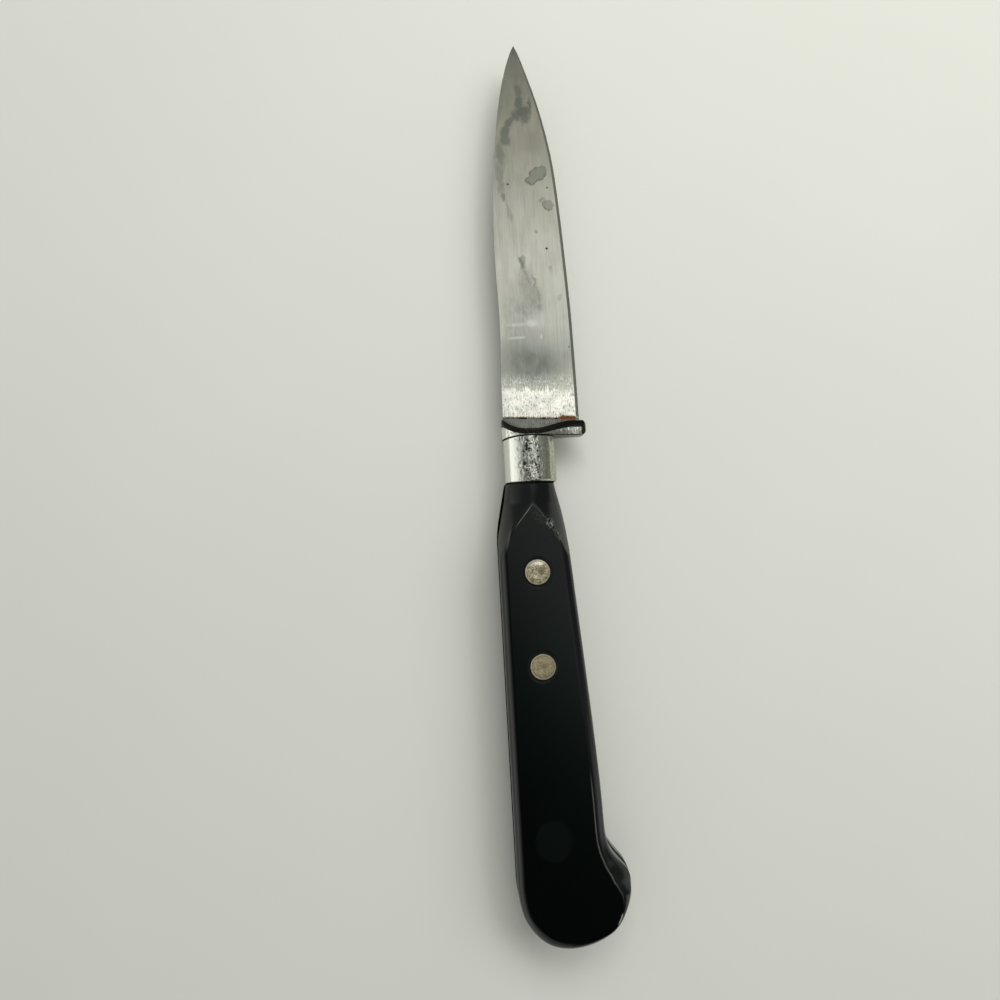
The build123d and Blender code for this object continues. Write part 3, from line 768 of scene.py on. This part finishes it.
# Scales: the flat runs into a pointed arch at the neck, its edge is rounded, and the round
# widens to a slanted face at the beak
scale = {
    "insetLeft": 0.23, "insetRight": 0.06,  # the scales have shrunk back from the tang's edge
    "insetButt": 4.0, "buttRound": 12.0,  # lengths at the butt: where that grows, and the round
    "edgeDepth": 2.2, "edgeWidthLeft": 2.2,
    "buttWiden": (98, 104, 0.5),  # the left edge gets that much wider between both places
    # place along the knife and width of the edge on the right
    "edgeWidthRight": (
        (-106.0, 2.6), (-104.0, 1.9), (-102.4, 1.1), (-100.4, 0.9), (-98.7, 1.1), (-96.6, 1.5), (-94.6, 2.2),
        (-93.2, 3.1), (-91.9, 3.7), (-90.2, 3.2), (-88.7, 2.95), (-86.5, 2.5), (-83.8, 2.3), (-80.0, 2.2),
    ),
    # widths between which the round turns to the beak's slanted face, its depth and its curve
    "beakWidths": (2.2, 3.4), "beakBackY": -100, "beakDepth": 3.2, "beakCurve": 1.6,
    # a pale line between flat and edge on the belly side, a painted highlight, brightening to a painted glint
    # behind the beak: its half width, then where each part of it begins and ends, and its strength
    "highlightFromY": -66, "highlightWidth": (0.04, 0.18),
    "wearAndHighlight": ((66, 72, 90, 98, 0.32), (98.2, 98.9, 100.2, 100.9, 1.0)),
    "creaseBlur": 0.28,
    "neckWidth": 11.75, "neckHeight": 10.2, "flareLength": 20.0, "flareWidth": 20.2, "flareHeight": 29.8,
    "flareSlope": 0.2, "flarePoint": 0.4, "flarePointLength": 5.0,
    # round the rivet heads: a shallow sink, the hole under the head, and darkening in both, painted shade
    # with old dirt
    "sinkWidth": 0.35, "sinkDepth": 0.2, "hole": (-0.6, -0.15, 0.5), "ringDirtAndShade": (0.3, 0.6, 0.9),
    "ferruleGap": 0.5, "gapDepth": 0.5,  # the neck steps down before the ferrule
    "wallHeight": 1.6, "draft": 1.0005,  # the wall grows longer by that factor at each step
    "columns": 130, "rows": 360, "denseColumns": 0.55, "denseRows": 0.62,
    "outlineStep": 0.25, "smoothLength": 76,  # beyond it beak and butt stay sharp
    "rimSpots": 2400,
}


def outlineOf(node, height, step):
    # left and right edge of a node at a height, at even steps along the knife, smoothed a little
    tree = BVHTree.FromObject(nodes[node], bpy.context.evaluated_depsgraph_get())
    count = int((ferruleBackY - buttY) / step)
    outside = 50
    sides = []
    for away in (-1, 1):
        found = []
        for n in range(1, count):
            start = Vector((away * outside, ferruleBackY - n * step, height)) * mm
            found.append(tree.ray_cast(start, Vector((-away, 0, 0)))[0].x / mm)
        rounded = []
        for n in range(len(found)):
            near = found[max(n - 3, 0):n + 4]
            rounded.append(sum(near) / len(near))
        last = int(scale["smoothLength"] / step)
        sides.append(rounded[:last] + found[last:])
    return sides


def makeUpperScale():
    step = scale["outlineStep"]
    left, right = outlineOf("upper_scale", seamZ + 0.05, step)
    neckX = (left[0] + right[0]) / 2
    buttX = (left[-1] + right[-1]) / 2
    length = ferruleBackY - buttY - scale["insetLeft"]

    def edges(y):
        # x of both edges of the scale at y
        n = (ferruleBackY - y) / step - 1
        if n >= len(left) - 1:
            share = min((n - len(left) + 1) / ((ferruleBackY - buttY) / step - len(left)), 1)
            bow = sqrt(max(1 - share, 0))
            return buttX + (left[-1] - buttX) * bow, buttX + (right[-1] - buttX) * bow
        n = max(n, 0)
        i = int(n)
        part = n - i
        return tuple(side[i] + (side[i + 1] - side[i]) * part for side in (left, right))

    spotsOnRim = []
    for n in range(scale["rimSpots"]):
        y = ferruleBackY - (ferruleBackY - buttY) * denseEnds(n / (scale["rimSpots"] - 1), 0.8)
        spotsOnRim += [Vector((x, y, 0)) for x in edges(y)]
    rim = kdtree.KDTree(len(spotsOnRim))
    for n, spot in enumerate(spotsOnRim):
        rim.insert(spot, n)
    rim.balance()

    def flareHeight(x, y):
        away = ferruleBackY - y
        share = away / scale["flareLength"]
        halfWidth = (scale["neckWidth"] + (scale["flareWidth"] - scale["neckWidth"]) * share) / 2
        straight = scale["flareSlope"] * scale["flareLength"]
        curved = (scale["flareHeight"] - scale["neckHeight"]) / 2 - straight
        halfHeight = scale["neckHeight"] / 2 + straight * share + curved * share**2
        power = 2 - scale["flarePoint"] * min(away / scale["flarePointLength"], 1)
        inside = 1 - min(abs(x - neckX) / halfWidth, 1) ** power
        return middleZ + halfHeight * inside ** (1 / power)

    def insetAt(across, y):
        # wide at the back of the handle and round the butt, narrow at the belly
        share = max(1 - fade(across, 0.3, 0.7), fade(-y, -buttY - scale["insetButt"], -buttY))
        return scale["insetRight"] + (scale["insetLeft"] - scale["insetRight"]) * share

    def edgeDrop(x, y, middle, away, inset):
        # how far the edge falls below the flat, and how much painted highlight the line where it begins gets
        width = smooth(scale["edgeWidthRight"], y)
        beak = fade(width, *scale["beakWidths"]) if x > middle and y > scale["beakBackY"] else 0
        begin, end, wider = scale["buttWiden"]
        wideLeft = scale["edgeWidthLeft"] + wider * fade(-y, begin, end)
        width += (wideLeft - width) * (1 - fade(x, middle - 3, middle + 6))
        width -= inset
        near = max(1 - away / width, 0)
        drop = scale["edgeDepth"] * (1 - sqrt(1 - near**2)) * (1 - beak)
        drop += scale["beakDepth"] * near ** scale["beakCurve"] * beak
        wearAndHighlight = 0
        if x > neckX and y < scale["highlightFromY"]:
            line = 1 - fade(abs(away - width), *scale["highlightWidth"])
            for begin, full, fall, end, strength in scale["wearAndHighlight"]:
                wearAndHighlight += line * strength * fade(-y, begin, full) * (1 - fade(-y, fall, end))
        return drop, wearAndHighlight

    def shape(across, along):
        y = ferruleBackY - length * denseEnds(along, scale["denseRows"])
        low, high = edges(y - scale["insetLeft"] * fade(-y, -buttY - scale["buttRound"], -buttY))
        low, high = low + insetAt(0, y), high - insetAt(1, y)
        if high < low:
            low = high = (low + high) / 2
        x = low + (high - low) * denseEnds(across, scale["denseColumns"])
        inset = insetAt(across, y)
        away = max(rim.find(Vector((x, y, 0)))[2] - inset, 0)
        if across < 0.001 or across > 0.999 or along > 0.999:
            away = 0
        drop, wearAndHighlight = edgeDrop(x, y, (low + high) / 2, away, inset)
        z = topZ - drop
        if y > ferruleBackY - 1.6 * scale["flareLength"]:
            z = softLower(z, flareHeight(x, y), scale["creaseBlur"])
        # painted shadow: black where the neck steps down into the gap before the ferrule
        dirtAndShade = 1 - fade(ferruleBackY - y, 0.6 * scale["ferruleGap"], scale["ferruleGap"])
        z -= scale["gapDepth"] * dirtAndShade
        for rivetY in (rivets["frontY"], rivets["rearY"]):
            ring = sqrt((x - rivets["x"])**2 + (y - rivetY)**2) - rivets["radius"]
            inner, outer, depth = scale["hole"]
            z -= scale["sinkDepth"] * (1 - fade(ring, 0, scale["sinkWidth"]))
            z -= depth * (1 - fade(ring, inner, outer))
            inner, outer, strength = scale["ringDirtAndShade"]
            dirtAndShade = max(dirtAndShade, strength * (1 - fade(ring, inner, outer)))
        return x, y, max(z, seamZ + 0.1), dirtAndShade, wearAndHighlight

    piece = shapedGrid("upperScale", scale["columns"], scale["rows"], shape, ("grimeAndShade", "wearAndHighlight"))
    bpy.ops.object.mode_set(mode="EDIT")
    bpy.ops.mesh.select_mode(type="EDGE")
    for height in (seamZ + scale["wallHeight"], seamZ):
        bpy.ops.mesh.select_all(action="DESELECT")
        bpy.ops.mesh.select_non_manifold(extend=False)
        bpy.ops.mesh.extrude_edges_move()
        bpy.ops.transform.resize(value=(1, scale["draft"], 1))
        bpy.ops.object.mode_set(mode="OBJECT")
        for vertex in piece.data.vertices:
            if vertex.select:
                vertex.co.z = min(vertex.co.z, height * mm)
        bpy.ops.object.mode_set(mode="EDIT")
    bpy.ops.mesh.select_all(action="DESELECT")
    bpy.ops.mesh.select_non_manifold(extend=False)
    bpy.ops.mesh.edge_face_add()
    bpy.ops.object.mode_set(mode="OBJECT")
    closeUp(piece)
    return piece


def makeLowerScale(upper):
    piece = copyOf(upper, "lowerScale")
    editAll(piece)
    mirrorDown()
    closeUp(piece)
    return piece


upperScale = makeUpperScale()
lowerScale = makeLowerScale(upperScale)
finishPiece(upperScale, black, "handle_plastic", "upper_scale", angle=50)
finishPiece(lowerScale, black, "handle_plastic", "lower_scale", angle=50)
print("scales modelled")

# Guard: a collar whose ramps rise slowly from the blade, then steeply to a worn crest
guard = {
    "frontAhead": 15.2,  # of the ferrule's back, on its axis
    "frontLean": 1.35, "backLean": 0.5, "backSag": 0.7, "length": 4.3, "lip": 1.0, "halfHeight": 5.3,
    # share of the width from the spine side, and height of the crest
    "crown": ((0.0, 0.40), (0.035, 0.50), (0.130, 0.82), (0.310, 1.00), (0.490, 0.88), (0.650, 0.62),
              (0.800, 0.47), (0.920, 0.42), (1.0, 0.38)),
    # share of the width, and how far back the slow ramp reaches
    "ramp": ((0.0, 0.15), (0.04, 0.8), (0.11, 1.75), (0.19, 2.35), (0.295, 2.65), (0.41, 2.55), (0.53, 1.95),
             (0.61, 1.4), (0.695, 0.85), (0.80, 0.4), (1.0, 0.2)),
    "rampRise": 0.5, "rampCurve": 1.2, "rimWidth": 1.55, "rimCurve": 1.6, "backRound": 0.15,
    "heelRadius": 1.5, "spineRadius": 1.1, "endHeight": 0.25,  # corners, and height at the very end
    # shares of the rows at which the lip, the slow ramp, the rim, the crest and the back round end
    "rowShares": (0.04, 0.36, 0.62, 0.90, 0.96),
    "pitDepth": 0.09, "pitSize": 0.625, "columns": 170, "rows": 84, "denseColumns": 0.5,
}


def jointY(x):
    # where guard and ferrule meet: a leaning line that sags towards the spine
    sag = guard["backSag"] * (max(ferruleX - x, 0) / (ferruleX - ferruleLow.x)) ** 2
    lean = guard["backLean"] * (x - ferruleX) / (guardHigh.x - guardLow.x)
    return ferruleBackY + guard["frontAhead"] - guard["length"] - lean - sag


def makeGuard():
    width = guardHigh.x - guardLow.x
    lipEnd, rampEnd, rimEnd, crestEnd, roundEnd = guard["rowShares"]
    backRound = guard["backRound"]

    def shape(across, along):
        across = denseEnds(across, guard["denseColumns"])
        x = guardLow.x + width * across
        front = ferruleBackY + guard["frontAhead"] - guard["frontLean"] * (x - ferruleX) / width
        back = jointY(x)
        depth = front - back
        heelSide = across > 0.5
        radius = guard["heelRadius"] if heelSide else guard["spineRadius"]
        end = min(width * (1 - across if heelSide else across), radius) / radius
        bow = sqrt(1 - (1 - end)**2)
        cornerCut = radius * (1 - bow)
        crest = guard["halfHeight"] * smooth(guard["crown"], across)
        crest *= guard["endHeight"] + (1 - guard["endHeight"]) * bow
        rampReach = min(smooth(guard["ramp"], across), depth - guard["rimWidth"] - backRound)
        lip = min(guard["lip"], crest * 0.6)
        rampTop = lip + (crest - lip) * guard["rampRise"]
        crestStart = rampReach + guard["rimWidth"]
        if along < lipEnd:
            s, h = 0, lip * along / lipEnd
        elif along < rampEnd:
            t = (along - lipEnd) / (rampEnd - lipEnd)
            s, h = rampReach * t, lip + (rampTop - lip) * t ** guard["rampCurve"]
        elif along < rimEnd:
            t = (along - rampEnd) / (rimEnd - rampEnd)
            s = rampReach + guard["rimWidth"] * t
            h = rampTop + (crest - rampTop) * (1 - (1 - t) ** guard["rimCurve"])
        elif along < crestEnd:
            t = (along - rimEnd) / (crestEnd - rimEnd)
            s, h = crestStart + (depth - backRound - crestStart) * t, crest
        elif along < roundEnd:
            turn = (along - crestEnd) / (roundEnd - crestEnd) * pi / 2
            s = depth - backRound * (1 - sin(turn))
            h = crest - backRound * (1 - cos(turn))
        else:
            s, h = depth, (crest - backRound) * (1 - along) / (1 - roundEnd)
        y = min(max(front - s, back + (cornerCut if heelSide else 0)), front - cornerCut)
        if 0.45 < along < 0.95:
            spot = Vector((x / guard["pitSize"], y / guard["pitSize"], h))
            h -= guard["pitDepth"] * max(noise.fractal(spot, 1.0, 2.0, 3) + 0.1, 0) * fade(along, 0.45, 0.6)
        # black in the steep rim and along the joint behind, painted shade there, and black at both ends
        grimeAndShade = max(fade(along, 0.33, 0.37) * (1 - fade(along, 0.60, 0.68)),
                    fade(along, 0.88, 0.91),
                    fade(across, 0.915, 0.965) * 0.85,
                    (1 - fade(across, 0.0, 0.05)) * (1 - fade(along, 0.62, 0.70)))
        return x, y, middleZ + max(h, 0), grimeAndShade

    piece = shapedGrid("guardCollar", guard["columns"], guard["rows"], shape, ("grimeAndShade",))
    editAll(piece)
    bpy.ops.mesh.duplicate()
    mirrorDown()
    closeUp(piece, 0.01)
    finishPiece(piece, plate, "bolster_metal", "guard_collar", angle=50)


makeGuard()
print("guard modelled")

# Ferrule: a short oval tube, chamfered behind, pitted along its top
ferrule = {
    "wall": 0.85, "chamfer": 0.3, "pitDepth": 0.06, "columns": 260, "rows": 96,
    # the ends are painted black as painted shade at the joints with guard and handle
    "frontShade": (0.42, 0.05), "backShade": 0.12,  # black this far from both ends
}


def makeFerrule():
    halfWidth, halfHeight = (ferruleHigh.x - ferruleLow.x) / 2, (ferruleHigh.z - ferruleLow.z) / 2

    def shape(around, along):
        turn = 2 * pi * around
        outward = Vector((sin(turn), 0, cos(turn)))
        x = ferruleX + halfWidth * outward.x
        front = jointY(x)
        y = ferruleBackY + (front - ferruleBackY) * along
        inner = ferrule["chamfer"] * max(1 - (y - ferruleBackY) / ferrule["chamfer"], 0)
        spot = Vector((x * 1.3, y * 0.9, outward.z * 6))
        pits = max(noise.fractal(spot, 1.0, 2.0, 4) - 0.05, 0) * fade(outward.z, 0.7, 0.95)
        inner += ferrule["pitDepth"] * min(pits * 2.5, 1)
        # painted shade at both ends of the ferrule
        begin, full = ferrule["frontShade"]
        grimeAndShade = max(fade(y, front - begin, front - full), 1 - fade(y - ferruleBackY, 0, ferrule["backShade"]))
        x = ferruleX + (halfWidth - inner) * outward.x
        z = middleZ + (halfHeight - inner) * outward.z
        return x, y, z, grimeAndShade

    piece = shapedGrid("ferruleSleeve", ferrule["columns"], ferrule["rows"], shape, ("grimeAndShade",))
    closeUp(piece)
    wall = piece.modifiers.new("wall", "SOLIDIFY")
    wall.thickness = ferrule["wall"] * mm
    wall.offset = -1
    bpy.ops.object.modifier_apply(modifier=wall.name)
    finishPiece(piece, plate, "bolster_metal", "ferrule", angle=40)


makeFerrule()
print("ferrule modelled")

bpy.context.scene.view_settings.view_transform = "Standard"
bpy.context.view_layer.update()
